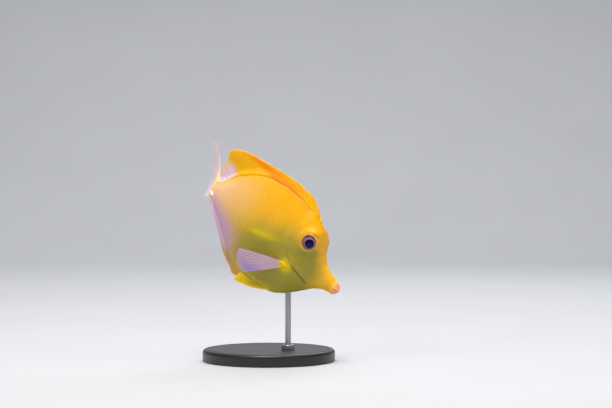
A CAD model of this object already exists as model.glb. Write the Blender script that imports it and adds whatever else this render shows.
"""Yellow tang, a life-size display model on its stand: the finish of every surface.

All lengths are metres unless they are shares of the unit length. The fish's own frame has x from the
tail fin's root to the snout, y to its left and z towards its back.
"""

import math

import bpy
import numpy as np
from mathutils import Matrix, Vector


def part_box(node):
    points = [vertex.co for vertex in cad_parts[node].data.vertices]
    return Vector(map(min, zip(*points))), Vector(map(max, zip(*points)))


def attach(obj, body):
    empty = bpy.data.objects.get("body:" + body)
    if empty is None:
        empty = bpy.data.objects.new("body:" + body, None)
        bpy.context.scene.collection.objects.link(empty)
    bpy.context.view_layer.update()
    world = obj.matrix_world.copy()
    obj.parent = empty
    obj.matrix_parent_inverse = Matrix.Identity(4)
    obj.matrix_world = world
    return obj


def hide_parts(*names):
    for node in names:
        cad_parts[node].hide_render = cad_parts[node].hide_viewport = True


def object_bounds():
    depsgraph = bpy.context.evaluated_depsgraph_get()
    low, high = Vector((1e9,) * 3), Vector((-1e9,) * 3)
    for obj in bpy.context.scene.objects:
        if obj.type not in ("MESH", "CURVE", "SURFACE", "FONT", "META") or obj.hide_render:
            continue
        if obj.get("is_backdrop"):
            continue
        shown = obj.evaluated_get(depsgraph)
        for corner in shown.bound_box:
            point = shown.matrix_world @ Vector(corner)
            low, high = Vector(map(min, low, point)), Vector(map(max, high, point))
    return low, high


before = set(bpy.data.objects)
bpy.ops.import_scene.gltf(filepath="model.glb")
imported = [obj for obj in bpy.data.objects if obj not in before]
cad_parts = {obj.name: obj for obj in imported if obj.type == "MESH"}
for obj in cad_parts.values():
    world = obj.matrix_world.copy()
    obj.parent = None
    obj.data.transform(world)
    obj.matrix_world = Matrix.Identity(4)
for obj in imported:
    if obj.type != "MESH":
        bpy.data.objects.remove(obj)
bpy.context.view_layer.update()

# BODY SKIN
# The real fish has one tough, unbroken skin over its deep, flat body. Here it is one closed surface,
# from the tail's root to the lips, that takes the place of the head, the trunk and the tail's stem.
# The gill cover's free edge, the eye sockets and the mouth are worked into it.
UNIT_LENGTH = 0.128
NOSE_DOWN = math.radians(33.3)
TAIL_SWING = math.radians(44.0)
SWING_STARTS, SWING_ENDS = 0.21, -0.05
MIDDLE, MIDDLE_HEIGHT = 0.47, 0.086
BACK = (
    (0.00, 0.047), (0.05, 0.062), (0.11, 0.130), (0.19, 0.203), (0.27, 0.251), (0.38, 0.277),
    (0.50, 0.281), (0.61, 0.262), (0.70, 0.228), (0.765, 0.167), (0.82, 0.090), (0.88, 0.048),
    (0.94, 0.027), (0.968, 0.012), (0.980, -0.002),
)
BELLY = (
    (0.00, -0.062), (0.05, -0.067), (0.11, -0.088), (0.19, -0.140), (0.29, -0.214), (0.40, -0.262),
    (0.52, -0.275), (0.62, -0.257), (0.70, -0.221), (0.76, -0.174), (0.82, -0.117), (0.88, -0.069),
    (0.94, -0.048), (0.968, -0.040), (0.980, -0.026),
)
HALF_WIDTH = (
    (0.00, 0.0165), (0.06, 0.022), (0.13, 0.033), (0.25, 0.052), (0.40, 0.068), (0.55, 0.076),
    (0.66, 0.077), (0.75, 0.068), (0.81, 0.051), (0.88, 0.035), (0.94, 0.026), (0.970, 0.020),
    (0.980, 0.011),
)
WIDEST_LEVEL = ((0.00, 0.0), (0.40, 0.010), (0.62, 0.020), (0.75, 0.055), (0.86, 0.005), (1.00, -0.010))
EDGE_SHARPNESS = (
    (0.00, 1.0), (0.15, 1.25), (0.45, 1.35), (0.62, 1.20), (0.74, 0.85), (0.88, 1.0), (1.00, 1.0),
)
SNOUT_END, SNOUT_CAP, SNOUT_MIDDLE = 0.980, 0.002, -0.014
TAIL_CAP, TAIL_CAP_EDGE, TAIL_CAP_RINGS = 0.012, 0.10, 6
SNOUT_CAP_EDGE, SNOUT_CAP_RINGS = 0.08, 9
STATIONS, AROUND = ((0.0, 0.57, 120), (0.57, 0.86, 150), (0.86, SNOUT_END, 60)), 264
EYE = (0.733, 0.071, 0.126)
EYE_TILT = (0.15, 0.12)
SEAT_RADIUS = 0.048
RIM, RIM_RADIUS, RIM_REACH = 0.007, 0.054, 0.020
CHEEK, CHEEK_REACH = 0.010, 0.075
BROW, BROW_RISE, BROW_REACH = (0.752, 0.170), 0.019, 0.030
SOCKET_RADIUS, SOCKET_FLOOR, SOCKET_DEPTH = 0.046, 0.034, 0.030
GILL_LINE = (
    (0.690, 0.330), (0.668, 0.230), (0.634, 0.150), (0.612, 0.088), (0.646, 0.028), (0.681, -0.010),
    (0.720, -0.036), (0.768, -0.054), (0.812, -0.070), (0.836, -0.100), (0.850, -0.150),
)
GILL_OPENS, GILL_CLOSES = (0.66, 0.72), (0.85, 0.80)
GILL_FLARE, GILL_FLARE_REACH = 0.007, 0.030
GILL_STEP, GILL_STEP_OPEN, GILL_FLATTENS = 0.014, 0.003, (0.06, 0.13)
GILL_SLIT, GILL_SLIT_HALF = 0.0050, 0.0040
LIP_AT, LIP_REACH, LIP_SWELL = 0.968, 0.011, 0.0024
MOUTH_LEVEL, MOUTH_CORNER, MOUTH_OPENS = -0.014, 0.951, 0.014
LIP_HEIGHT, LIP_OFF, LIP_HALF = 0.0026, 0.0062, 0.0042
MOUTH_SLIT, MOUTH_SLIT_HALF = 0.0062, 0.0016
SKIN_UNDER_SCALES = 0.00010


def smooth(table, at):
    """Value at each place of the smooth curve through a table: between two entries, the tangent lines
    at both are blended with the weight t * t * (3 - 2 * t)."""
    place, value = np.array(table, float).T
    slope = np.gradient(value, place)
    at = np.clip(at, place[0], place[-1])
    i = np.clip(np.searchsorted(place, at) - 1, 0, len(place) - 2)
    step = place[i + 1] - place[i]
    t = (at - place[i]) / step
    start = value[i] + slope[i] * t * step
    end = value[i + 1] - slope[i + 1] * (1 - t) * step
    weight = t * t * (3 - 2 * t)
    return start * (1 - weight) + end * weight


def fade(value, start, end):
    """0 on start's side and 1 on end's side, with the smooth step t * t * (3 - 2 * t) between. It fades
    out along the value where end lies below start."""
    t = np.clip((value - start) / (end - start), 0, 1)
    return t * t * (3 - 2 * t)


def bell(value, reach):
    """The bell curve exp(-(value / reach) ** 2)."""
    return np.exp(-((value / reach) ** 2))


def spread(*parts):
    """Joins coordinates or shares into rows, each first spread over the whole grid."""
    return np.stack(np.broadcast_arrays(*parts), axis=-1)


def unit(vectors):
    """Vectors divided by their lengths."""
    return vectors / np.maximum(np.linalg.norm(vectors, axis=-1, keepdims=True), 1e-12)


def full_turn(count):
    """A row of this many even steps round a circle."""
    return np.linspace(0, 2 * math.pi, count, endpoint=False)[None]


def swing_angle(back):
    """The midline's turn, a smooth step from 0 to the whole swing over the length that bends."""
    return TAIL_SWING * fade(back, 0, SWING_STARTS - SWING_ENDS)


def pose(points, root=None):
    """Fish frame to the model's frame: behind the swing's start a point keeps its offset from a midline
    whose heading turns as swing_angle says, and the whole fish is then tipped nose down. A fin's ray
    keeps the heading at its root, so fins give the x of each ray's root."""
    x, y, z = points[..., 0], points[..., 1], points[..., 2]
    root = x if root is None else root
    steps = np.linspace(0, 1.2, 481)
    angle = swing_angle((steps[1:] + steps[:-1]) / 2)
    run = np.concatenate([[0], np.cumsum(np.cos(angle) * np.diff(steps))])
    side = np.concatenate([[0], np.cumsum(np.sin(angle) * np.diff(steps))])
    back = np.maximum(SWING_STARTS - root, 0)
    turn = swing_angle(back)
    ahead = np.maximum(root, SWING_STARTS)
    bent_x = ahead - np.interp(back, steps, run) + (x - root) * np.cos(turn) + y * np.sin(turn)
    bent_y = np.interp(back, steps, side) - (x - root) * np.sin(turn) + y * np.cos(turn)
    forward = bent_x - MIDDLE
    world_x = forward * math.cos(NOSE_DOWN) + z * math.sin(NOSE_DOWN)
    world_z = z * math.cos(NOSE_DOWN) - forward * math.sin(NOSE_DOWN) + MIDDLE_HEIGHT / UNIT_LENGTH
    return spread(world_x, bent_y, world_z) * UNIT_LENGTH


def gill_distance(x, z):
    """How far a place on the side is ahead of the gill cover's hind edge, and below 0 behind it: the
    difference in x, divided by the length of the edge's slant."""
    line = [(level, place) for place, level in reversed(GILL_LINE)]
    slant = (smooth(line, z + 0.002) - smooth(line, z - 0.002)) / 0.004
    return (x - smooth(line, z)) / np.hypot(1, slant)


def from_eye(x, z):
    """Distance from the eye's middle, seen from the side."""
    return np.hypot(x - EYE[0], z - EYE[2])


def eye_seat(x, z):
    """How far out the eye's seat is: a plane through its middle, tilted as the cheek is."""
    return EYE[1] - EYE_TILT[0] * (x - EYE[0]) - EYE_TILT[1] * (z - EYE[2])


def skin_at(x, angle):
    """The skin at x and an angle that runs from the left side over the back: half an upright oval above
    the widest level and half below. Bells are added for the cheek, the orbit's rim, the brow, the gill
    cover's flare and the lips. A groove behind the cover and a bowl for the eye's socket are taken off,
    and round the eye the skin is flattened to the eye's seat."""
    top, bottom = smooth(BACK, x), smooth(BELLY, x)
    level, half = smooth(WIDEST_LEVEL, x), smooth(HALF_WIDTH, x)
    up, out = np.sin(angle), np.cos(angle)
    z = level + np.where(up > 0, top - level, level - bottom) * up
    y = half * np.abs(out) ** smooth(EDGE_SHARPNESS, x)
    away = from_eye(x, z)
    cheek = CHEEK * bell(away, CHEEK_REACH)
    flat = np.exp(-((away / SEAT_RADIUS) ** 4))
    brow = BROW_RISE * bell(np.hypot(x - BROW[0], z - BROW[1]), BROW_REACH) * (1 - flat)
    on_side = fade(np.abs(out), 0.0, 0.75)
    orbit = RIM * bell(away - RIM_RADIUS, RIM_REACH)
    swell = (cheek + orbit + (eye_seat(x, z) - y - cheek) * flat) * on_side
    ahead = gill_distance(x, z)
    open_part = fade(x, *GILL_OPENS) * fade(x, *GILL_CLOSES)
    behind = GILL_STEP - (GILL_STEP - GILL_STEP_OPEN) * open_part
    cover = GILL_FLARE * np.where(ahead > 0, bell(ahead, GILL_FLARE_REACH), bell(ahead, behind))
    cover = cover * (1 - 0.75 * fade(z, *GILL_FLATTENS))
    slit = GILL_SLIT * open_part * bell(ahead + GILL_SLIT_HALF, GILL_SLIT_HALF)
    lip = LIP_SWELL * bell(x - LIP_AT, LIP_REACH)
    y = y + swell + 0.8 * brow * np.abs(out) ** 0.8 + (cover - slit + lip) * np.abs(out)
    y = y - SOCKET_DEPTH * fade(away, SOCKET_RADIUS, SOCKET_FLOOR) * on_side
    z = z + 0.6 * brow * fade(up, 0.0, 0.8) + lip * up
    return spread(x, y * np.sign(out), z)


def mouth_relief(x, z):
    """The lips and the slit between them: two bells either side of the mouth's level and a deeper,
    narrow bell cut at it, all from the corner of the mouth forwards."""
    off = z - MOUTH_LEVEL
    lips = LIP_HEIGHT * bell(np.abs(off) - LIP_OFF, LIP_HALF)
    slit = MOUTH_SLIT * bell(off, MOUTH_SLIT_HALF)
    return (lips - slit) * fade(x, MOUTH_CORNER, MOUTH_CORNER + MOUTH_OPENS)


def normals_of(points, closed=True):
    """Unit normals of a grid of points, from the cross product of its two central differences."""
    if closed:
        across = np.roll(points, -1, axis=1) - np.roll(points, 1, axis=1)
    else:
        across = np.gradient(points, axis=1)
    return unit(np.cross(across, np.gradient(points, axis=0)))


def rows_of_faces(rows, columns, closed=True):
    """Four-cornered faces between neighbouring rows of a grid, whose rows may each be a closed ring."""
    i, j = np.meshgrid(np.arange(rows - 1), np.arange(columns if closed else columns - 1), indexing="ij")
    k = (j + 1) % columns
    here, below = i * columns, (i + 1) * columns
    return spread(here + j, here + k, below + k, below + j).reshape(-1, 4)


def closed_rings(rings):
    """Points and faces of a stack of rings that is closed at both ends by a fan round a middle point."""
    rows, columns = rings.shape[:2]
    points = np.concatenate([rings.reshape(-1, 3), rings[[0, -1]].mean(axis=1)])
    j = np.arange(columns)
    k = (j + 1) % columns
    last, middle = (rows - 1) * columns, rows * columns
    ends = [spread(middle, k, j), spread(middle + 1, last + j, last + k)]
    return points, [rows_of_faces(rows, columns), np.concatenate(ends)]


def make_mesh(name, points, faces, material, sharp=None):
    """A mesh object from an array of points and one array of faces for each number of corners. Its faces
    are turned outwards: the volume, a sum of corner tetrahedra, has to be above zero."""
    volume = 0.0
    for group in faces:
        for k in range(1, group.shape[1] - 1):
            first, second, third = [points[group[:, corner]] for corner in (0, k, k + 1)]
            volume += np.sum(first * np.cross(second, third))
    if volume < 0:
        faces = [group[:, ::-1] for group in faces]
    corners = np.concatenate([group.ravel() for group in faces])
    counts = np.concatenate([np.full(len(group), group.shape[1]) for group in faces])
    mesh = bpy.data.meshes.new(name)
    mesh.vertices.add(len(points))
    mesh.vertices.foreach_set("co", points.astype(np.float32).ravel())
    mesh.loops.add(len(corners))
    mesh.loops.foreach_set("vertex_index", corners.astype(np.int32))
    mesh.polygons.add(len(counts))
    mesh.polygons.foreach_set("loop_start", (np.cumsum(counts) - counts).astype(np.int32))
    mesh.update(calc_edges=True)
    mesh.shade_smooth()
    if sharp is not None:
        mesh.set_sharp_from_angle(angle=math.radians(sharp))
    mesh.materials.append(material)
    obj = bpy.data.objects.new(name, mesh)
    bpy.context.scene.collection.objects.link(obj)
    return obj


def add_tones(obj, tones):
    """Stores shares at each point, four to an attribute, that its material reads to place its markings."""
    for first, name in ((0, "tones"), (4, "marks")):
        if tones.shape[-1] > first:
            attribute = obj.data.attributes.new(name, "FLOAT_COLOR", "POINT")
            shares = np.clip(tones[..., first:first + 4], 0, 1).astype(np.float32)
            attribute.data.foreach_set("color", shares.ravel())


def dress(obj, slot, *nodes):
    """Gives a piece its finish slot and makes it move with the model, and stand for the solids it names."""
    if nodes:
        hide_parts(*nodes)
    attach(obj, "root")


def colour(red, green, blue):
    """Linear light from a colour as a paint chart gives it, in 0 to 255: a straight line near black, and
    above it the power 2.4 of the share that is moved up by 0.055."""
    chart = np.array([red, green, blue]) / 255
    return tuple(np.where(chart <= 0.04045, chart / 12.92, ((chart + 0.055) / 1.055) ** 2.4)) + (1.0,)


def new_finish(name, **numbers):
    """A material with one principled shader, these numbers on its sockets, and its node tree."""
    material = bpy.data.materials.new(name)
    material.use_nodes = True
    shader = material.node_tree.nodes["Principled BSDF"]
    for socket, value in numbers.items():
        shader.inputs[socket.replace("_", " ")].default_value = value
    return material, material.node_tree, shader


def add_node(tree, kind, inputs, **settings):
    """A node with its settings. Each input, by name or number, is a value or another node's output."""
    node = tree.nodes.new(kind)
    for name, value in settings.items():
        setattr(node, name, value)
    for key, value in inputs.items():
        if isinstance(value, bpy.types.NodeSocket):
            tree.links.new(value, node.inputs[key])
        else:
            node.inputs[key].default_value = value
    return node


def wire(shader, **outputs):
    """Links these outputs to the shader's sockets."""
    for socket, output in outputs.items():
        shader.id_data.links.new(output, shader.inputs[socket.replace("_", " ")])


def blend(tree, share, first, second, kind="MIX"):
    """The mix of two colours by a share, as an output. Each is an output or a chart colour."""
    first, second = [colour(*tint) if isinstance(tint, tuple) else tint for tint in (first, second)]
    inputs = {"Factor": share, 6: first, 7: second}
    return add_node(tree, "ShaderNodeMix", inputs, data_type="RGBA", blend_type=kind).outputs[2]


def four_shares(tree, name):
    """The four shares that add_tones stored under a name, as outputs."""
    attribute = add_node(tree, "ShaderNodeAttribute", {}, attribute_name=name)
    parts = add_node(tree, "ShaderNodeSeparateColor", {"Color": attribute.outputs["Color"]})
    return [*parts.outputs, attribute.outputs["Alpha"]]


def noise(tree, scale, detail=3.0, stretch=(1, 1, 1)):
    """Cloud noise in the model's own coordinates, from 0 to 1."""
    place = add_node(tree, "ShaderNodeTexCoord", {}).outputs["Object"]
    place = add_node(tree, "ShaderNodeMapping", {"Vector": place, "Scale": stretch}).outputs[0]
    inputs = {"Vector": place, "Scale": scale, "Detail": detail}
    return add_node(tree, "ShaderNodeTexNoise", inputs).outputs[0]


def number(tree, operation, first, second=0.0, third=0.0):
    """One step of arithmetic, as an output."""
    return add_node(tree, "ShaderNodeMath", {0: first, 1: second, 2: third}, operation=operation).outputs[0]


def scaled(tree, value, by, plus):
    """A value times a number, plus another, as an output."""
    return number(tree, "MULTIPLY_ADD", value, by, plus)


def bump(shader, height, distance):
    """Raises a shader's surface by this height, a share of the distance in metres."""
    node = add_node(shader.id_data, "ShaderNodeBump", {"Height": height, "Distance": distance})
    wire(shader, Normal=node.outputs[0])


BACK_ORANGE = (252, 174, 8)
FLANK_YELLOW = (246, 184, 46)
BELLY_OLIVE = (166, 152, 54)
HIND_LILAC = (204, 162, 190)
HIND_PEACH = (244, 192, 132)
YELLOW = (226, 196, 6)
RIDGE_ORANGE = (250, 156, 6)
SLIT_BROWN = (84, 62, 24)
LIP_PINK = (255, 172, 142)
UNDER_EYE, UNDER_EYE_REACH = (0.768, 0.088), 0.030
STREAK, STREAK_SLOPE, STREAK_REACH = (0.46, 0.003), 0.28, (0.100, 0.021)
ARMPIT, ARMPIT_REACH = (0.678, -0.054), 0.033
SLIT_SHADE_HALF = 0.0042


def body_tones(x, z):
    """Where the markings lie: the warm back, the dull lower side with the shade under the eye, the lilac
    hind edge and the dark gill slit, then the peach tail's root, the pure yellow streak, armpit and
    keel, the lips and the deep orange ridge. Each is a product of smooth steps in x, z and the height
    as a share of the body's depth, or a bell round its middle."""
    height = (z - smooth(BELLY, x)) / (smooth(BACK, x) - smooth(BELLY, x))
    back = fade(height + 0.25 * (x - 0.5), 0.45, 0.98) * (1 - 0.7 * fade(x, 0.71, 0.80))
    tilt = 0.16 * fade(x, 0.48, 0.62) + 0.17 * fade(x, 0.70, 0.79) - 0.16 * fade(x, 0.46, 0.30)
    dull = fade(height - tilt, 0.76, 0.40) * fade(x, 0.12, 0.46) * fade(x, 0.905, 0.80)
    dull = dull + 0.35 * bell(np.hypot(x - UNDER_EYE[0], z - UNDER_EYE[1]), UNDER_EYE_REACH)
    hind = fade(0.085 - 0.36 * x - z, 0.0, 0.125) * fade(x, 0.40, 0.22) * fade(x, 0.02, 0.10)
    slit = fade(x, 0.635, 0.66) * (0.35 + 0.65 * fade(x, 0.69, 0.73)) * fade(x, 0.830, 0.795)
    slit = slit * bell(gill_distance(x, z) + GILL_SLIT_HALF, SLIT_SHADE_HALF)
    slit = slit * fade(z, 0.045, 0.02) * fade(z, -0.105, -0.085)
    peach = fade(x, 0.44, 0.08) * fade(height, 1.05, 0.70)
    along = x - STREAK[0]
    streak = bell(z - STREAK[1] - STREAK_SLOPE * along, STREAK_REACH[1]) * bell(along, STREAK_REACH[0])
    armpit = 1.8 * bell(np.hypot(x - ARMPIT[0], z - ARMPIT[1]), ARMPIT_REACH)
    keel = fade(height, 0.11, 0.01) * fade(x, 0.30, 0.42) * fade(x, 0.76, 0.60)
    lips = fade(x, 0.940, 0.984)
    ridge = fade(height, 0.90, 1.0) * fade(x, 0.30, 0.44) * fade(x, 0.68, 0.60)
    return spread(back, dull, hind, slit, peach, streak + armpit + keel, lips, ridge)


def colour_body(tree):
    """Mixes the markings' colours where the tones and marks say, with borders broken up by noise."""
    uneven = scaled(tree, noise(tree, 90.0), 0.5, 0.75)
    back, dull, hind, slit = four_shares(tree, "tones")
    peach, yellow, lips, ridge = four_shares(tree, "marks")
    mixed = FLANK_YELLOW
    for share, tint in (
        (back, BACK_ORANGE), (peach, HIND_PEACH), (dull, BELLY_OLIVE), (hind, HIND_LILAC),
        (yellow, YELLOW), (ridge, RIDGE_ORANGE),
    ):
        mixed = blend(tree, number(tree, "MULTIPLY", share, uneven), mixed, tint)
    mixed = blend(tree, lips, mixed, LIP_PINK)
    return blend(tree, slit, mixed, SLIT_BROWN)


def end_cap(ring, leans, middle_z, length):
    """Rings that round off an end of the skin: its last ring, shrunk towards a middle point by each
    lean's cosine and moved along x by the length times its sine."""
    middle = np.array([ring[0, 0], 0.0, middle_z])
    cap = middle + (ring - middle) * np.cos(leans)[:, None, None]
    cap[..., 0] = ring[0, 0] + length * np.sin(leans)[:, None]
    return cap


stations = np.concatenate([
    np.linspace(start, end, count, endpoint=end == SNOUT_END) for start, end, count in STATIONS
])
fish_skin = skin_at(*np.broadcast_arrays(stations[:, None], full_turn(AROUND)))
tail_leans = np.linspace(math.pi / 2 - TAIL_CAP_EDGE, 0, TAIL_CAP_RINGS + 1)[:-1]
snout_leans = np.linspace(0, math.pi / 2 - SNOUT_CAP_EDGE, SNOUT_CAP_RINGS + 1)[1:]
fish_skin = np.concatenate([
    end_cap(fish_skin[0], tail_leans, 0.0, -TAIL_CAP), fish_skin,
    end_cap(fish_skin[-1], snout_leans, SNOUT_MIDDLE, SNOUT_CAP),
])
posed_skin = pose(fish_skin)
relief = mouth_relief(fish_skin[..., 0], fish_skin[..., 2]) * UNIT_LENGTH - SKIN_UNDER_SCALES
posed_skin = posed_skin + normals_of(posed_skin) * relief[..., None]

skin_finish, tree, shader = new_finish(
    "skin", Roughness=0.50, Specular_IOR_Level=0.2, Coat_Weight=0.06, Coat_Roughness=0.3,
    Subsurface_Weight=0.12, Subsurface_Scale=0.001,
)
wire(shader, Base_Color=colour_body(tree))
bump(shader, noise(tree, 2600.0, 2.0), 0.00006)

skin = make_mesh("body_skin", *closed_rings(posed_skin), skin_finish)
unposed = closed_rings(fish_skin)[0]
add_tones(skin, body_tones(unposed[:, 0], unposed[:, 2]))
dress(skin, "yellow_skin", "head", "trunk", "tail_stem")

# SCALES
# Thousands of tiny rough scales make the real skin look like velvet. Each is a thin shield, rooted at
# its front edge and lifted a little at its hind edge, and laid in staggered rows towards the tail.
SCALE_PITCH, SCALE_ROW = 0.0056, 0.92
SCALES_END, NEAREST_TO_EYE = 0.938, 0.0500
BARE_BY_SLIT, BARE_BETWEEN = 0.007, (-0.11, 0.06)
SCALE_SIZES = ((0.0, 0.62), (0.15, 0.85), (0.40, 1.0), (0.62, 1.0), (0.75, 0.80), (0.90, 0.62), (1.0, 0.55))
SCALE_OUTLINE = (
    (-0.60, 0.00, -0.10), (-0.30, 0.46, -0.06), (0.25, 0.54, 0.000), (0.60, 0.30, 0.055),
    (0.74, 0.00, 0.075), (0.60, -0.30, 0.055), (0.25, -0.54, 0.000), (-0.30, -0.46, -0.06),
    (0.10, 0.00, 0.075),
)
SCALE_SIZE_SPREAD, SCALE_LIFT_SPREAD = (0.94, 1.08), (0.75, 1.2)
SCALE_SEED = 11
PATCH_SIZE = 0.0022


def add_share(obj, name, values):
    """Stores one number at each point under a name."""
    attribute = obj.data.attributes.new(name, "FLOAT", "POINT")
    attribute.data.foreach_set("value", values.astype(np.float32).ravel())


def darken(tree, mixed, level):
    """The colour times a level of grey, as an output."""
    grey = add_node(tree, "ShaderNodeCombineColor", {0: level, 1: level, 2: level}).outputs[0]
    return blend(tree, 1.0, mixed, grey, "MULTIPLY")


def share_of(tree, name):
    """The number stored at each point under a name, as an output."""
    return add_node(tree, "ShaderNodeAttribute", {}, attribute_name=name).outputs["Fac"]


def ring_lengths(x):
    """Distance along the skin from its widest level, up to the back and down to the belly, at each x."""
    quarter = np.linspace(0, math.pi / 2, 90)
    grid, turn = np.meshgrid(x, np.concatenate([-quarter[:0:-1], quarter]), indexing="ij")
    ring = skin_at(grid, turn)
    ring[..., 1] = np.maximum(ring[..., 1], 0)
    steps = np.linalg.norm(np.diff(ring, axis=1), axis=-1)
    length = np.concatenate([0 * x[:, None], np.cumsum(steps, axis=1)], axis=1)
    return turn[0], length - length[:, 89:90]


def scale_places():
    """Where the scales sit on one side, as x and angle: a staggered lattice whose spacing shrinks
    towards the snout and the tail with the table of sizes."""
    fine = np.linspace(0.0, 0.950, 2000)
    per_scale = 1 / smooth(SCALE_SIZES, fine)
    steps = 0.5 * (per_scale[1:] + per_scale[:-1]) * np.diff(fine)
    counted = np.concatenate([[0], np.cumsum(steps)]) / SCALE_PITCH
    column_x = np.interp(np.arange(int(counted[-1] * 2)) / 2, counted, fine)
    turn, length = ring_lengths(column_x)
    row_step = SCALE_ROW * SCALE_PITCH * smooth(SCALE_SIZES, column_x)
    x_list, angle_list = [], []
    for column, (x, arc, step) in enumerate(zip(column_x, length, row_step)):
        rows = np.arange(math.ceil(arc[0] / step), math.floor(arc[-1] / step) + 1)
        rows = rows[(rows + column) % 2 == 0]
        x_list.append(np.full(len(rows), x))
        angle_list.append(np.interp(rows * step, arc, turn))
    return np.concatenate(x_list), np.concatenate(angle_list)


def lay_scales(name, x, angle, draw):
    """Joined scales at these places. Each corner of the outline goes along the skin towards the tail,
    across it and out of it, by its three numbers times the scale's size. Each scale has its own small
    patch of the map OFBake, at its root's place by x and angle, with each side on its own half."""
    here = pose(skin_at(x, angle))
    along = unit(pose(skin_at(x - 0.0006, angle)) - pose(skin_at(x + 0.0006, angle)))
    across = pose(skin_at(x, angle + 0.01)) - pose(skin_at(x, angle - 0.01))
    normal = unit(np.cross(along, across))
    spine = pose(spread(x, 0, smooth(WIDEST_LEVEL, x)))
    normal *= np.sign(np.sum(normal * (here - spine), axis=-1, keepdims=True))
    across = np.cross(normal, along)
    size = SCALE_PITCH * UNIT_LENGTH * smooth(SCALE_SIZES, x) * draw.uniform(*SCALE_SIZE_SPREAD, len(x))
    lift = draw.uniform(*SCALE_LIFT_SPREAD, len(x))
    outline = np.array(SCALE_OUTLINE)
    local = outline[None] * size[:, None, None]
    corners = (
        here[:, None] - normal[:, None] * SKIN_UNDER_SCALES
        + along[:, None] * local[..., :1] + across[:, None] * local[..., 1:2]
        + normal[:, None] * local[..., 2:] * lift[:, None, None]
    )
    corner_count = len(outline)
    middle = corner_count - 1
    rim = np.arange(middle)
    first = corner_count * np.arange(len(x))[:, None]
    tops = spread(rim, (rim + 1) % middle, middle)
    top_faces = (first[:, :, None] + tops[None]).reshape(-1, 3)
    under = (first + rim[::-1][None]).reshape(-1, middle)
    obj = make_mesh(name, corners.reshape(-1, 3), [top_faces, under], scale_finish, sharp=50)
    tones = body_tones(x, skin_at(x, angle)[:, 2])
    add_tones(obj, np.repeat(tones, corner_count, axis=0))
    add_share(obj, "own_tone", np.repeat(draw.random(len(x)), corner_count))
    side = np.where(np.cos(angle) > 0, 0.25, 0.75)
    up = np.arctan2(np.sin(angle), np.abs(np.cos(angle))) / (math.pi / 2)
    patch = spread(0.02 + 0.96 * x, side + 0.235 * up)[:, None] + PATCH_SIZE * outline[None, :, :2]
    index = np.empty(len(obj.data.loops), np.int32)
    obj.data.loops.foreach_get("vertex_index", index)
    uv = obj.data.uv_layers.new(name="OFBake")
    uv.data.foreach_set("uv", patch.reshape(-1, 2)[index].astype(np.float32).ravel())
    dress(obj, "yellow_skin")


scale_finish, tree, shader = new_finish(
    "scales", Specular_IOR_Level=0.2, Coat_Weight=0.06, Coat_Roughness=0.3,
    Subsurface_Weight=0.10, Subsurface_Scale=0.0008,
)
own_tone = share_of(tree, "own_tone")
shade = scaled(tree, own_tone, 0.14, 0.92)
wire(
    shader, Base_Color=darken(tree, colour_body(tree), shade),
    Roughness=scaled(tree, own_tone, 0.16, 0.34),
)

place_x, place_angle = scale_places()
level = skin_at(place_x, place_angle)[:, 2]
from_slit = np.abs(gill_distance(place_x, level) + GILL_SLIT_HALF)
in_slit = (from_slit < BARE_BY_SLIT) & (level > BARE_BETWEEN[0]) & (level < BARE_BETWEEN[1])
keep = (from_eye(place_x, level) > NEAREST_TO_EYE) & ~in_slit & (place_x < SCALES_END)
place_x, place_angle = place_x[keep], place_angle[keep]
draw = np.random.default_rng(SCALE_SEED)
for label, mirrored in (("left", False), ("right", True)):
    for part, low, high in (("hind", -1, MIDDLE), ("fore", MIDDLE, 2)):
        chosen = (place_x >= low) & (place_x < high)
        turn = math.pi - place_angle[chosen] if mirrored else place_angle[chosen]
        lay_scales(f"scales_{part}_{label}", place_x[chosen], turn, draw)

# EYES
# Each eye is a low glass dome, painted behind: a deep blue pupil and a mauve iris that darkens to its
# rim. A soft ring of bare yellow skin, warmer inside, holds it in its socket.
EYE_RADIUS, EYE_DEPTH, EYE_SUNK = 0.0405, 0.022, 0.006
RINGS, SPOKES = 40, 96
GAZE, PUPIL_STRETCH = (0.015, -0.003), 0.14
LID_RINGS, LID_SPOKES = ((0.0360, 0.0400, 9), (0.0406, 0.0490, 16)), 144
LID_TOP, LID_HEIGHT, LID_REACH, LID_THICKNESS = 0.0400, 0.0060, 0.0060, 0.004
LID_DROP, LID_DROPS_OVER = 0.005, (0.0385, 0.0360)
LID_SINK, LID_SINKS_OVER = 0.0030, (0.0455, 0.0490)
CHEEK_FROM, LID_MEETS_CHEEK = 0.0465, (0.0415, 0.0470)
SIDES = (("right", -1), ("left", 1))


def ramp(tree, share, stops):
    """The colour at a share between stops, each a place from 0 to 1 and a chart colour, as an output."""
    node = add_node(tree, "ShaderNodeValToRGB", {"Fac": share})
    elements = node.color_ramp.elements
    for element, (place, chart) in zip(elements, (stops[0], stops[-1])):
        element.position, element.color = place, colour(*chart)
    for place, chart in stops[1:-1]:
        elements.new(place).color = colour(*chart)
    return node.outputs[0]


def side_width(x, z):
    """How far out the skin is at a place on the side, found by halving the angle's range repeatedly."""
    low, high = np.full(np.shape(x), -math.pi / 2), np.full(np.shape(x), math.pi / 2)
    for _ in range(26):
        half = (low + high) / 2
        below = skin_at(x, half)[..., 2] < z
        low, high = np.where(below, half, low), np.where(below, high, half)
    return skin_at(x, low)[..., 1]


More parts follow.
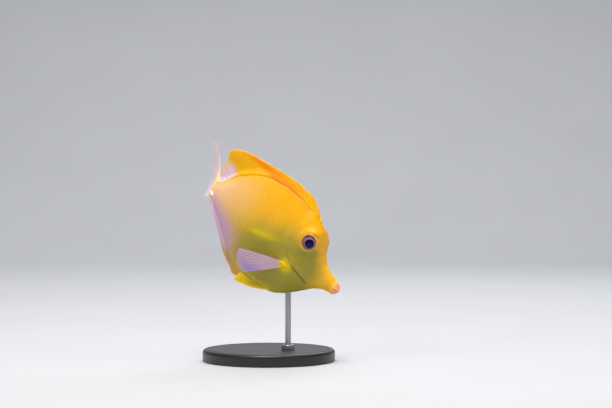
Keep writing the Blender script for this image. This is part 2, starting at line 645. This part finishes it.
def eye_dome(side):
    """Rings from the front of the dome to its back: an oval of revolution whose middle plane leans as
    the cheek does. The pupil is moved by the gaze and longer than it is high; the iris's rim is round."""
    lean = np.linspace(0.02, math.pi - 0.02, RINGS)[:, None]
    turn = full_turn(SPOKES)
    x = EYE_RADIUS * np.sin(lean) * np.cos(turn)
    z = EYE_RADIUS * np.sin(lean) * np.sin(turn)
    y = EYE_DEPTH * np.cos(lean) - EYE_TILT[0] * x - EYE_TILT[1] * z
    offset = spread(x, side * y, z)
    middle = np.cos(lean) ** 2
    out_x = (x - GAZE[0] * middle) / EYE_RADIUS * (1 - PUPIL_STRETCH * middle)
    out_z = (z - GAZE[1] * middle) / EYE_RADIUS
    out = np.hypot(out_x, out_z)
    return offset + np.array([EYE[0], side * (EYE[1] - EYE_SUNK), EYE[2]]), out, np.sin(turn) + 0 * lean


def eye_rim(side):
    """The ring of skin round an eye: rings over the dome's margin, up to a soft lip and down into the
    cheek, where a smooth step takes over from the lip's bell. The same rings, moved inwards, close it."""
    spoke = full_turn(LID_SPOKES)
    reach = np.concatenate([np.linspace(*rings) for rings in LID_RINGS])[:, None]
    x, z = EYE[0] + reach * np.cos(spoke), EYE[2] + reach * np.sin(spoke)
    inside = eye_seat(x, z) + LID_HEIGHT * bell(reach - LID_TOP, LID_REACH)
    inside = inside - LID_DROP * fade(reach, *LID_DROPS_OVER)
    beyond = np.maximum(reach, CHEEK_FROM)
    cheek = side_width(EYE[0] + beyond * np.cos(spoke), EYE[2] + beyond * np.sin(spoke))
    share = fade(reach, *LID_MEETS_CHEEK)
    y = inside * (1 - share) + cheek * share - LID_SINK * fade(reach, *LID_SINKS_OVER)
    front = spread(x, side * y, z)
    inner = bell(reach - LID_MEETS_CHEEK[0], LID_REACH) + 0 * spoke
    back = front[::-1] - np.array([0, side * LID_THICKNESS, 0])
    return np.concatenate([front, back]), np.concatenate([inner, inner[::-1]])


eye_finish, tree, shader = new_finish(
    "eye_glass", Roughness=0.3, Specular_IOR_Level=0.1, Coat_Weight=0.18, Coat_Roughness=0.04,
)
out, crescent = four_shares(tree, "tones")[:2]
painted = ramp(tree, out, (
    (0.0, (4, 4, 96)), (0.48, (2, 3, 80)), (0.55, (4, 3, 40)), (0.585, (84, 54, 80)),
    (0.64, (150, 106, 112)), (0.74, (152, 108, 122)), (0.86, (110, 76, 122)), (1.0, (56, 34, 64)),
))
streaks = blend(tree, noise(tree, 900.0), (90, 50, 90), (240, 200, 160))
iris = blend(tree, 0.35, painted, streaks, "OVERLAY")
wire(shader, Base_Color=blend(tree, crescent, iris, (58, 34, 78)))

lid_finish, tree, shader = new_finish(
    "eye_rim", Roughness=0.45, Specular_IOR_Level=0.3, Coat_Weight=0.15, Coat_Roughness=0.25,
    Subsurface_Weight=0.15, Subsurface_Scale=0.001,
)
warm = number(tree, "MULTIPLY", share_of(tree, "inner"), 0.6)
wire(shader, Base_Color=blend(tree, warm, colour_body(tree), (214, 160, 66)))
bump(shader, noise(tree, 1800.0), 0.00008)

for label, side in SIDES:
    dome, out, up = eye_dome(side)
    eye = make_mesh("eyeball_" + label, *closed_rings(pose(dome)), eye_finish)
    out = np.where(np.arange(RINGS)[:, None] < RINGS / 2, out, 1.0)
    crescent = fade(out, 0.66, 0.92) * fade(up, 0.15, 0.9)
    stored = spread(out, crescent, 0, 0).reshape(-1, 4)
    add_tones(eye, np.concatenate([stored, [[0, 0, 0, 0], [1, 0, 0, 0]]]))
    dress(eye, "eye_dark", "eye_" + label)

    shell, inner = eye_rim(side)
    rows, columns = shell.shape[:2]
    loop = rows_of_faces(rows + 1, columns) % (rows * columns)
    lid = make_mesh("eye_rim_" + label, pose(shell).reshape(-1, 3), [loop], lid_finish)
    add_tones(lid, body_tones(shell[..., 0], shell[..., 2]).reshape(-1, 8))
    add_share(lid, "inner", inner)
    dress(lid, "yellow_skin")

# NOSTRILS
# Two small openings lie in front of each eye, with low raised rims. Each is a turned ring with a darker
# pit, set on the skin.
NOSTRILS = ((0.7875, 0.1215, 0.0036), (0.801, 0.108, 0.0026))
NOSTRIL_PROFILE = (
    (0.05, -0.8), (0.35, -0.7), (0.55, -0.35), (0.66, 0.05), (0.80, 0.22), (0.98, 0.20), (1.20, 0.04),
    (1.45, -0.16), (1.60, -0.40), (1.2, -0.9), (0.05, -1.0),
)
NOSTRIL_SPOKES = 40


def nostril(side, x, z, radius):
    """Rings of the profile, in shares of the radius, from the pit's floor over the rim and down under
    the skin. They lie on the plane that touches the skin there, whose slopes are differences of its
    width over a short step."""
    step = 0.004
    nearby_x, nearby_z = x + step * np.array([0, 1, -1, 0, 0]), z + step * np.array([0, 0, 0, 1, -1])
    width, ahead, behind, above, below = side_width(nearby_x, nearby_z)
    turn = full_turn(NOSTRIL_SPOKES)
    reach, lift = np.array(NOSTRIL_PROFILE).T[..., None] * radius
    out_x, out_z = reach * np.cos(turn), reach * np.sin(turn)
    y = width + ((ahead - behind) * out_x + (above - below) * out_z) / (2 * step) + lift
    return spread(x + out_x, side * y, z + out_z)


nostril_finish, tree, shader = new_finish("nostril", Roughness=0.4, Coat_Weight=0.3, Coat_Roughness=0.2)
rim_colour = blend(tree, noise(tree, 2000.0), (240, 162, 26), (250, 176, 44))
on_rim = four_shares(tree, "tones")[0]
wire(shader, Base_Color=blend(tree, on_rim, (104, 66, 18), rim_colour))
shares = np.repeat(fade(np.array(NOSTRIL_PROFILE)[:, 0], 0.40, 0.60), NOSTRIL_SPOKES)
shares = np.tile(np.concatenate([shares, [0, 0]]), len(NOSTRILS))
for label, side in SIDES:
    groups = [closed_rings(pose(nostril(side, *place))) for place in NOSTRILS]
    points = np.concatenate([group[0] for group in groups])
    count = len(groups[0][0])
    faces = [np.concatenate([first, second + count]) for first, second in zip(groups[0][1], groups[1][1])]
    nostrils = make_mesh("nostrils_" + label, points, faces, nostril_finish)
    add_tones(nostrils, np.repeat(shares[:, None], 4, axis=1))
    dress(nostrils, "yellow_skin")

# BACK FIN AND BELLY FIN
# Long fins of thin web on a few hard spines and many soft rays, which split in two towards the edge.
# They stand in the body's midplane, fleshy at the root, and ripple a little. The back fin's rays lie
# folded far back.
FIN_SINK, FIN_RIPPLE = 0.012, 0.0012
WEB_HALF, RAY_HALF = 0.00012, 0.00013
FIN_FLESH, FLESH_HEIGHT, FLESH_POWER = 0.0014, 0.036, 1.6
SOFT_RAY, HARD_RAY, RAY_PARTS = (0.15, 0.06), (0.20, 0.10), 0.20
RAY_JOINTS, JOINT_DEPTH, JOINTS_FROM = 150, 0.12, 0.25
NOTCH = 0.012
DORSAL_ROOT, DORSAL_RAYS = (0.700, 0.040), 30
DORSAL_EDGE = (
    (0.00, 0.693, 0.226, 0.700), (0.02, 0.666, 0.262, 0.687), (0.04, 0.637, 0.288, 0.670),
    (0.10, 0.531, 0.320, 0.608), (0.17, 0.424, 0.325, 0.522), (0.25, 0.320, 0.319, 0.436),
    (0.34, 0.217, 0.308, 0.350), (0.44, 0.125, 0.294, 0.271), (0.53, 0.062, 0.272, 0.218),
    (0.63, 0.020, 0.240, 0.179), (0.73, 0.016, 0.190, 0.139), (0.83, 0.008, 0.139, 0.106),
    (0.92, 0.002, 0.093, 0.073), (1.00, 0.006, 0.059, 0.040),
)
ANAL_ROOT, ANAL_RAYS = (0.450, 0.045), 23
ANAL_EDGE = (
    (0.00, 0.441, -0.282, 0.450), (0.08, 0.402, -0.307, 0.418), (0.17, 0.362, -0.288, 0.381),
    (0.27, 0.308, -0.261, 0.341), (0.44, 0.222, -0.194, 0.272), (0.61, 0.149, -0.130, 0.203),
    (0.78, 0.086, -0.088, 0.134), (0.90, 0.058, -0.080, 0.086), (1.00, 0.038, -0.073, 0.045),
)


def ray_profile(u, v, rays, spines, split):
    """How much of a ray is at each place, from 0 to 1: a bell round each ray, and from a share of its
    length on, two bells that part; a row of faint joints crosses the soft rays. A ray's two numbers
    are its width at the root and how much narrower it is at the edge, in spaces between rays."""
    place = u * (rays - 1)
    nearest = np.round(place)
    off = np.abs(place - nearest)
    soft = nearest >= spines
    part = np.where(soft, RAY_PARTS * fade(v, split, 1.15), 0)
    width = np.where(soft, SOFT_RAY[0] - SOFT_RAY[1] * v, HARD_RAY[0] - HARD_RAY[1] * v)
    at_joint = (np.cos(v * RAY_JOINTS) > 0.75) & (v > JOINTS_FROM) & soft
    return bell(off - part, width) * (1 - JOINT_DEPTH * at_joint)


def make_fin(
    name, slot, node, sheet, half_thickness, rays, finish, tints, spines=0, rows=64, per_ray=12, split=0.42,
):
    """A fin as one closed surface: both faces lie a half thickness off a curved sheet, the web's plus the
    rays', and are joined round the rim. The sheet gives its points, for a share along the root and a
    share from root to edge, and the x whose heading they keep; the edge has a notch between rays. The
    tints give the shares of the pale colours and of the band."""
    columns = (rays - 1) * per_ray + 1
    u, v = np.meshgrid(np.linspace(0, 1, columns), np.linspace(0, 1, rows))
    ray = ray_profile(u, v, rays, spines, split)
    notched = v * (1 - NOTCH * (1 - np.abs(np.cos(math.pi * u * (rays - 1)))) * fade(v, 0.5, 1))
    middle, root = sheet(u, notched)
    across = normals_of(middle, closed=False)
    half = (half_thickness(u, v) + RAY_HALF * ray * np.clip(v / 0.1, 0, 1) * (1 - 0.65 * v)) / UNIT_LENGTH
    half = half * np.sqrt(np.clip((1 - v) / 0.02, 0.04, 1))
    both = np.array([middle + across * half[..., None], middle - across * half[..., None]])
    points = pose(both, np.broadcast_to(root, both.shape[:-1])).reshape(-1, 3)
    other = columns * rows
    front = rows_of_faces(rows, columns, closed=False)
    rim = np.concatenate([
        np.arange(columns), np.arange(1, rows) * columns + columns - 1,
        (rows - 1) * columns + np.arange(columns - 2, -1, -1), np.arange(rows - 2, 0, -1) * columns,
    ])
    after = np.roll(rim, -1)
    joined = spread(rim, rim + other, after + other, after)
    fin = make_mesh(name, points, [np.concatenate([front, front[:, ::-1] + other, joined])], finish)
    stored = spread(ray, v, *tints(u, v))
    add_tones(fin, np.array([stored, stored]).reshape(-1, 4))
    dress(fin, slot, node)


def midplane_sheet(outline, root_range, edge_table):
    """Straight lines from the body's outline to the fin's edge table, pushed sideways by a wave that
    grows towards the edge."""
    def sheet(u, v):
        root_x = root_range[0] + (root_range[1] - root_range[0]) * u
        line = smooth(outline, root_x)
        edge_x, edge_z, edge_kept = [smooth([(row[0], row[i]) for row in edge_table], u) for i in (1, 2, 3)]
        start = line - np.sign(line) * FIN_SINK
        wave = FIN_RIPPLE * np.sin(math.pi * (7 * u + 1.5 * v)) * v**2
        kept = root_x + (edge_kept - root_x) * v
        return spread(root_x + (edge_x - root_x) * v, wave, start + (edge_z - start) * v), kept
    return sheet


def flesh_on_body(outline, sheet):
    """The web's half thickness, plus flesh that thins with the height above the body's outline."""
    def thickness(u, v):
        x, _, z = np.moveaxis(sheet(u, v)[0], -1, 0)
        height = np.clip(np.abs(z) - np.abs(smooth(outline, x)), 0, None)
        return WEB_HALF + FIN_FLESH * np.clip(1 - height / FLESH_HEIGHT, 0, 1) ** FLESH_POWER
    return thickness


def fin_finish(name, tints, band, edge, web_alpha, flesh=(0.0, 0.2)):
    """Colours of the root, the web and the rays, one after the other along the fin's pale share, with a
    band of its own colour, a lighter edge, and a web that lets a little light through. The root's
    colour fades out between two shares of the way to the edge."""
    material, tree, shader = new_finish(
        name, Roughness=0.45, Specular_IOR_Level=0.2, Subsurface_Weight=0.25, Subsurface_Scale=0.0006,
    )
    ray, v, pale, in_band = four_shares(tree, "tones")
    uneven = noise(tree, 160.0)
    places = np.linspace(0, 1, len(tints))
    root, web, rays = [ramp(tree, pale, list(zip(places, row))) for row in zip(*tints)]
    mixed = blend(tree, ray, web, rays)
    in_band = number(tree, "MULTIPLY", in_band, scaled(tree, uneven, 0.5, 0.7))
    mixed = blend(tree, number(tree, "MINIMUM", in_band, 1.0), mixed, band)
    slope = 1 / (flesh[1] - flesh[0])
    near = number(tree, "SMOOTH_MIN", scaled(tree, v, -slope, flesh[1] * slope), 1.0, 0.1)
    near = number(tree, "MULTIPLY", near, scaled(tree, uneven, 0.6, 0.7))
    near = number(tree, "MAXIMUM", near, 0.0)
    mixed = blend(tree, near, mixed, root)
    mixed = blend(tree, number(tree, "POWER", v, 9.0), mixed, edge)
    solid = scaled(tree, number(tree, "MAXIMUM", ray, near), 1 - web_alpha, web_alpha)
    wire(
        shader, Base_Color=darken(tree, mixed, scaled(tree, uneven, 0.20, 0.90)),
        Alpha=number(tree, "MINIMUM", solid, 1.0),
    )
    bump(shader, noise(tree, 1500.0, 2.0), 0.00004)
    return material


def dorsal_tones(u, v):
    """The fin turns yellower behind, and pale in its hind lower corner. A deep orange band lies along
    the middle of its length, low on the rays, and narrows to a streak behind."""
    x, _, z = np.moveaxis(dorsal_sheet(u, v)[0], -1, 0)
    corner = fade(0.2155 - x - 0.67 * z, -0.045, 0.035) * fade(z, 0.205, 0.160)
    top = 0.45 + 0.45 * fade(u, 0.20, 0.45)
    band = fade(u, 0.60, 0.42) * fade(v, 0.95, top) * fade(x, 0.60, 0.43)
    return 0.5 * fade(u, 0.50, 0.60) + 0.5 * corner, band


def anal_tones(u, v):
    """The fin turns duller behind its front lobe, then lilac. The lobe's edge is brighter."""
    return 0.5 * fade(u, 0.05, 0.20) + 0.5 * fade(u, 0.28, 0.50), fade(v, 0.75, 0.95) * fade(u, 0.45, 0.30)


dorsal_sheet = midplane_sheet(BACK, DORSAL_ROOT, DORSAL_EDGE)
anal_sheet = midplane_sheet(BELLY, ANAL_ROOT, ANAL_EDGE)
dorsal_finish = fin_finish("back_fin", (
    ((250, 160, 10), (255, 186, 10), (246, 164, 4)),
    ((255, 192, 40), (238, 178, 4), (244, 184, 10)),
    ((255, 214, 140), (218, 192, 214), (240, 208, 190)),
), (246, 142, 4), (255, 190, 56), 0.96)
anal_finish = fin_finish("belly_fin", (
    ((176, 146, 70), (206, 160, 60), (216, 166, 50)),
    ((176, 146, 96), (186, 150, 110), (196, 156, 110)),
    ((206, 166, 190), (214, 178, 206), (220, 184, 200)),
), (226, 176, 30), (236, 184, 70), 0.94)
make_fin(
    "back_fin", "yellow_fin", "dorsal_fin", dorsal_sheet, flesh_on_body(BACK, dorsal_sheet), DORSAL_RAYS,
    dorsal_finish, dorsal_tones, spines=5,
)
make_fin(
    "belly_fin", "yellow_fin", "anal_fin", anal_sheet, flesh_on_body(BELLY, anal_sheet), ANAL_RAYS,
    anal_finish, anal_tones, spines=3,
)

# TAIL FIN
# A thin fan of sixteen rays on the end of the tail's stem, slightly cupped, twisted and forked. It is
# yellow at the root, where the skin runs on to it, and pale and clear behind.
TAIL_FIN_RAYS, TAIL_FIN_SINK, TAIL_FIN_FAN = 16, 0.006, 1.35
TAIL_FIN_LENGTH, TAIL_FIN_BEND = (0.207, -0.023, 0.040), 0.0075
TAIL_FIN_SPREAD, TAIL_FIN_TWIST = (0.177, 0.0115), (math.radians(15.3), math.radians(4.0))
TAIL_FIN_ROOT = (0.042, 0.058)


def fleshy_root(added, share, power=FLESH_POWER, rounding=0.0):
    """The web's half thickness, plus flesh that is gone at a share of the way to the edge, and for a
    round stalk thins towards both its sides as an oval does."""
    def thickness(u, v):
        oval = np.sqrt(np.clip(1 - (rounding * (2 * u - 1)) ** 2, 0, 1))
        return WEB_HALF + added * np.clip(1 - v / share, 0, 1) ** power * oval
    return thickness


def tail_sheet(u, v):
    """Rays from the stem's end to a forked edge, spread as the sine of the share across; the sheet is
    then twisted about its own axis, and its lower rays are bent a little to one side."""
    across = 2 * u - 1
    reach = TAIL_FIN_LENGTH[0] + TAIL_FIN_LENGTH[1] * across + TAIL_FIN_LENGTH[2] * across**2
    x = TAIL_FIN_SINK - (reach + TAIL_FIN_SINK) * v
    fan = np.sin(TAIL_FIN_FAN * across) / math.sin(TAIL_FIN_FAN)
    edge_height = (TAIL_FIN_SPREAD[0] + TAIL_FIN_SPREAD[1] * across) * fan
    height = np.where(across > 0, *TAIL_FIN_ROOT) * across * (1 - v) + edge_height * v
    twist = (TAIL_FIN_TWIST[0] + TAIL_FIN_TWIST[1] * across) * v**1.5
    y = TAIL_FIN_BEND * (1 - across) * v**2.4 - height * np.sin(twist)
    return spread(x, y, height * np.cos(twist)), x


tail_finish = fin_finish("tail_fin", (
    ((255, 214, 116), (210, 194, 222), (232, 206, 176)),
    ((250, 218, 166), (226, 214, 244), (232, 216, 226)),
), (246, 206, 140), (236, 214, 190), 0.86)
make_fin(
    "tail_fin_web", "yellow_fin", "tail_fin", tail_sheet, fleshy_root(0.0019, 0.5, 1.7, 0.97),
    TAIL_FIN_RAYS, tail_finish, lambda u, v: (fade(u, 0.55, 0.25), fade(v, 0.42, 0.10)),
    rows=72, split=0.30,
)

# PECTORAL FINS
# A clear, rounded fan on each flank, on a short fleshy stalk behind the gill cover. The real fin is
# glassy, with rays that show as fine darker lines.
PECTORAL_ROOT = ((0.682, 0.676), (-0.043, -0.067))
PECTORAL_SINK, PECTORAL_ROUNDING, PECTORAL_ARCH, PECTORAL_RAYS = 0.014, 0.018, 0.007, 14
PECTORAL_TOP_RAY, PECTORAL_LOW_RAY = (-0.225, 0.140, -0.051), (-0.158, 0.070, -0.140)


def pectoral_sheet(side):
    """Rays that fan from a short root line on the flank: their directions are blended from the top ray's
    to the lowest's, and they are longest in the middle and arched."""
    root_x, root_z = np.array(PECTORAL_ROOT)
    ends = spread(root_x, side_width(root_x, root_z) - PECTORAL_SINK, root_z)
    top_ray, low_ray = np.array(PECTORAL_TOP_RAY), np.array(PECTORAL_LOW_RAY)
    lengths = np.linalg.norm(top_ray), np.linalg.norm(low_ray)

    def sheet(u, v):
        share = u[..., None]
        way = unit(top_ray / lengths[0] * (1 - share) + low_ray / lengths[1] * share)
        length = lengths[0] + (lengths[1] - lengths[0]) * u + PECTORAL_ROUNDING * np.sin(math.pi * u)
        points = ends[0] * (1 - share) + ends[1] * share + way * (length * v)[..., None]
        points[..., 2] += PECTORAL_ARCH * np.sin(math.pi * v) * (1 - u)
        points[..., 1] *= side
        return points, points[..., 0]
    return sheet


pectoral_finish = fin_finish("pectoral_fin", (
    ((248, 208, 10), (250, 220, 238), (132, 88, 122)), ((248, 208, 10), (210, 190, 255), (120, 88, 150)),
), (244, 196, 210), (214, 184, 222), 0.84, (0.12, 0.26))
for label, side in SIDES:
    make_fin(
        "pectoral_web_" + label, "clear_fin", "pectoral_fin_" + label, pectoral_sheet(side),
        fleshy_root(0.0021, 0.30, 1.2, 0.96), PECTORAL_RAYS, pectoral_finish,
        lambda u, v: (fade(u, 0.3, 0.8) * fade(v, 0.4, 0.9), 0), rows=60, per_ray=14, split=0.45,
    )

# PELVIC FINS
# Two narrow fins folded back along the belly's edge, each of one spine and five soft rays, bright
# yellow throughout.
PELVIC_ROOT = ((0.688, 0.012, -0.208), (0.668, 0.018, -0.196))
PELVIC_TIPS = ((0.427, 0.031, -0.317), (0.446, 0.031, -0.258))
PELVIC_SAG, PELVIC_RAYS = 0.022, 6


def pelvic_sheet(side):
    """A sheet ruled from a short root line to the tips of the outer and inner ray, sagging between."""
    def sheet(u, v):
        share = u[..., None]
        ends = np.array([PELVIC_ROOT, PELVIC_TIPS])
        root, tip = [outer * (1 - share) + inner * share for outer, inner in ends]
        points = root * (1 - v[..., None]) + tip * v[..., None]
        points[..., 2] -= PELVIC_SAG * np.sin(math.pi * v)
        points[..., 1] *= side
        return points, points[..., 0]
    return sheet


pelvic_finish = fin_finish("pelvic_fin", (
    ((190, 166, 30), (240, 200, 2), (226, 178, 0)), ((180, 160, 50), (178, 158, 40), (190, 160, 30)),
), (240, 200, 2), (246, 212, 40), 0.97)
for label, side in SIDES:
    make_fin(
        "pelvic_web_" + label, "yellow_fin", "pelvic_fin_" + label, pelvic_sheet(side),
        fleshy_root(0.0006, 0.30), PELVIC_RAYS, pelvic_finish,
        lambda u, v: (fade(u, 0.15, 0.6) * fade(v, 1.0, 0.5), 0),
        spines=1, rows=50, per_ray=14, split=0.5,
    )

# TAIL SPINES
# The blade that gives surgeonfishes their name: one on each side of the tail's stem, bone white, folded
# flat against the skin with its point to the head. Half of its width is sunk in the skin.
TAIL_SPINE_FRONT, TAIL_SPINE_BACK = (0.056, -0.028), (0.002, -0.022)
TAIL_SPINE_HALF_HEIGHT, TAIL_SPINE_HALF_WIDTH = 0.0078, 0.0080

spine_finish, tree, shader = new_finish(
    "tail_spine", Roughness=0.28, Coat_Weight=0.4, Coat_Roughness=0.12,
    Subsurface_Weight=0.2, Subsurface_Scale=0.001,
)
grain = noise(tree, 1200.0, stretch=(1, 1, 4))
wire(shader, Base_Color=blend(tree, grain, (232, 228, 240), (252, 250, 255)))
bump(shader, grain, 0.00003)
for label, side in SIDES:
    share, turn = np.linspace(0.01, 0.99, 36)[:, None], full_turn(28)
    x, z = [a + (b - a) * share for a, b in zip(TAIL_SPINE_FRONT, TAIL_SPINE_BACK)]
    girth = np.sin(math.pi * share**0.7)
    blade = np.abs(np.cos(turn)) ** 0.8 * np.sign(np.cos(turn))
    y = side_width(x, z) + TAIL_SPINE_HALF_WIDTH * girth * blade
    height = z + TAIL_SPINE_HALF_HEIGHT * girth * np.sin(turn)
    rings = spread(x, side * y, height)
    spine = make_mesh("tail_blade_" + label, *closed_rings(pose(rings)), spine_finish)
    dress(spine, "spine_white", "tail_spine_" + label)

# STAND
# A turned wooden disc, sprayed satin black, and a brushed steel rod that screws into it through a
# small collar and ends inside the breast.
BASE_RADIUS, BASE_THICKNESS = 0.045, 0.008
FOOT_BEND, EDGE_BEND = 0.0006, 0.0022
GROOVE, GROOVE_DEPTH = (0.0415, 0.0412, 0.0408, 0.0405), 0.00025
ROD_RADIUS, COLLAR_RADIUS, COLLAR_HEIGHT, COLLAR_BEND, COLLAR_SUNK = 0.002, 0.0044, 0.0035, 0.0006, 0.001


def turned(profile, around, middle=(0.0, 0.0)):
    """Points and faces of a turned piece: a profile of radius and height carried round an upright axis."""
    turn = full_turn(around)
    radius, height = np.array(profile).T[..., None]
    x, y = middle[0] + radius * np.cos(turn), middle[1] + radius * np.sin(turn)
    return closed_rings(spread(x, y, height))


def rounded_corner(radius, height, bend, start, end, steps):
    """Profile points round a corner's centre, between two angles in degrees."""
    angle = np.radians(np.linspace(start, end, steps))
    return [(radius + bend * math.cos(a), height + bend * math.sin(a)) for a in angle]


base_profile = [
    (0.001, 0.0), (BASE_RADIUS - FOOT_BEND - 0.001, 0.0),
    *rounded_corner(BASE_RADIUS - FOOT_BEND, FOOT_BEND, FOOT_BEND, -90, 0, 5),
    (BASE_RADIUS, 0.0030), (BASE_RADIUS, BASE_THICKNESS - EDGE_BEND - 0.0002),
    *rounded_corner(BASE_RADIUS - EDGE_BEND, BASE_THICKNESS - EDGE_BEND, EDGE_BEND, 0, 90, 12),
    (GROOVE[0], BASE_THICKNESS), (GROOVE[1], BASE_THICKNESS - GROOVE_DEPTH),
    (GROOVE[2], BASE_THICKNESS - GROOVE_DEPTH), (GROOVE[3], BASE_THICKNESS),
    (0.03, BASE_THICKNESS), (0.015, BASE_THICKNESS), (0.001, BASE_THICKNESS),
]
base_finish, tree, shader = new_finish("black_base", Coat_Weight=0.25, Coat_Roughness=0.3)
grain = noise(tree, 60.0, 6.0, (1, 14, 1))
wire(
    shader, Base_Color=blend(tree, grain, (24, 23, 24), (38, 36, 36)),
    Roughness=scaled(tree, noise(tree, 30.0, 4.0), 0.18, 0.34),
)
bump(shader, grain, 0.00008)
base = make_mesh("base_disc", *turned(base_profile, 192), base_finish, sharp=35)
dress(base, "base_black", "stand_base")

rod_low, rod_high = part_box("stand_rod")
rod_at = ((rod_low.x + rod_high.x) / 2, (rod_low.y + rod_high.y) / 2)
collar_low, collar_top = BASE_THICKNESS - COLLAR_SUNK, BASE_THICKNESS + COLLAR_HEIGHT
rod_profile = [
    (0.0002, collar_low), (COLLAR_RADIUS, collar_low), (COLLAR_RADIUS, collar_top - COLLAR_BEND - 0.0003),
    *rounded_corner(COLLAR_RADIUS - COLLAR_BEND, collar_top - COLLAR_BEND, COLLAR_BEND, 0, 90, 5),
    (ROD_RADIUS, collar_top), (ROD_RADIUS, collar_top + 0.0005),
    (ROD_RADIUS, rod_high.z), (0.0002, rod_high.z),
]
rod_finish, tree, shader = new_finish("brushed_rod", Metallic=1.0)
brushed = noise(tree, 900.0, 2.0, (1, 1, 0.03))
wire(
    shader, Base_Color=blend(tree, brushed, (150, 152, 156), (205, 206, 208)),
    Roughness=scaled(tree, brushed, 0.25, 0.2),
)
bump(shader, brushed, 0.00003)
rod = make_mesh("rod_and_collar", *turned(rod_profile, 64, rod_at), rod_finish, sharp=35)
dress(rod, "rod_steel", "stand_rod")

# FLOOR, LIGHT AND CAMERA
# The model stands on a plain pale paper floor that sweeps up into a wall behind it, under soft studio
# lights, most of them from above. The camera looks level at its right side from a little ahead.
AZIMUTH = math.radians(30.0)
SWEEP_STARTS, SWEEP_RADIUS, WALL_TOP, FLOOR_REACH = 1.6, 0.8, 4.0, 6.0
LENS, SENSOR, DISTANCE = 85.0, 36, 0.98383
AIM_RIGHT, AIM_UP = 0.02527, 0.02049
right = np.array([math.cos(AZIMUTH), math.sin(AZIMUTH), 0])
ahead = np.array([-math.sin(AZIMUTH), math.cos(AZIMUTH), 0])
upward = np.array([0, 0, 1.0])

floor_finish, tree, shader = new_finish("floor", Roughness=0.75)
wire(shader, Base_Color=blend(tree, noise(tree, 6.0), (178, 179, 182), (184, 185, 188)))
bend = np.linspace(0, math.pi / 2, 40)
away = np.array([-FLOOR_REACH, *(SWEEP_STARTS + SWEEP_RADIUS * np.sin(bend)), SWEEP_STARTS + SWEEP_RADIUS])
rise = np.array([0.0, *(SWEEP_RADIUS * (1 - np.cos(bend))), WALL_TOP])
line = away[:, None] * ahead + rise[:, None] * upward
paper = np.concatenate([line - FLOOR_REACH * right, line + FLOOR_REACH * right])
floor = make_mesh("floor", paper, [rows_of_faces(2, len(away), closed=False)[:, ::-1]], floor_finish)
floor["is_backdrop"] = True

camera_data = bpy.data.cameras.new("camera")
camera_data.lens = LENS
camera_data.sensor_width = SENSOR
camera = bpy.data.objects.new("camera", camera_data)
camera.location = right * AIM_RIGHT + upward * (MIDDLE_HEIGHT + AIM_UP) - ahead * DISTANCE
camera.rotation_euler = (math.pi / 2, 0, AZIMUTH)
bpy.context.scene.collection.objects.link(camera)
bpy.context.scene.camera = camera


def soft_light(name, across, towards, height, size, power, tint, target=(0.0, 0.0, 0.1), shows=True):
    """A square soft light aimed at the fish or another target, placed by how far it is right, beyond and
    above the model's middle. One that doesn't show leaves no reflection."""
    data = bpy.data.lights.new(name, "AREA")
    data.size = size
    data.energy = power
    data.color = tint
    light = bpy.data.objects.new(name, data)
    place = right * across + ahead * towards + upward * height
    light.location = place
    light.visible_glossy = shows
    way = np.array(target) - place
    lean = math.acos(-way[2] / np.linalg.norm(way))
    light.rotation_euler = (lean, 0, math.atan2(way[1], way[0]) - math.pi / 2)
    bpy.context.scene.collection.objects.link(light)


soft_light("key", -0.05, -0.25, 1.0, 0.5, 9.2, (1.0, 0.97, 0.93))
soft_light("side", -0.80, -0.65, 0.75, 0.6, 4.2, (1.0, 0.97, 0.94), shows=False)
soft_light("front", 0.9, -0.45, 0.65, 0.6, 3.2, (1.0, 0.98, 0.96), shows=False)
soft_light("rim", 0.3, 0.9, 0.9, 0.4, 3.0, (0.95, 0.97, 1.0))
soft_light("ceiling", 0.0, 1.3, 2.6, 2.4, 75.0, (0.97, 0.98, 1.0), target=ahead * 1.5, shows=False)
world = bpy.data.worlds.new("studio")
bpy.context.scene.world = world
world.use_nodes = True
background = world.node_tree.nodes["Background"].inputs
background["Color"].default_value = (0.80, 0.83, 0.88, 1)
background["Strength"].default_value = 0.22
bpy.context.scene.view_settings.view_transform = "Standard"
bpy.context.scene.view_settings.look = "None"

low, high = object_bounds()
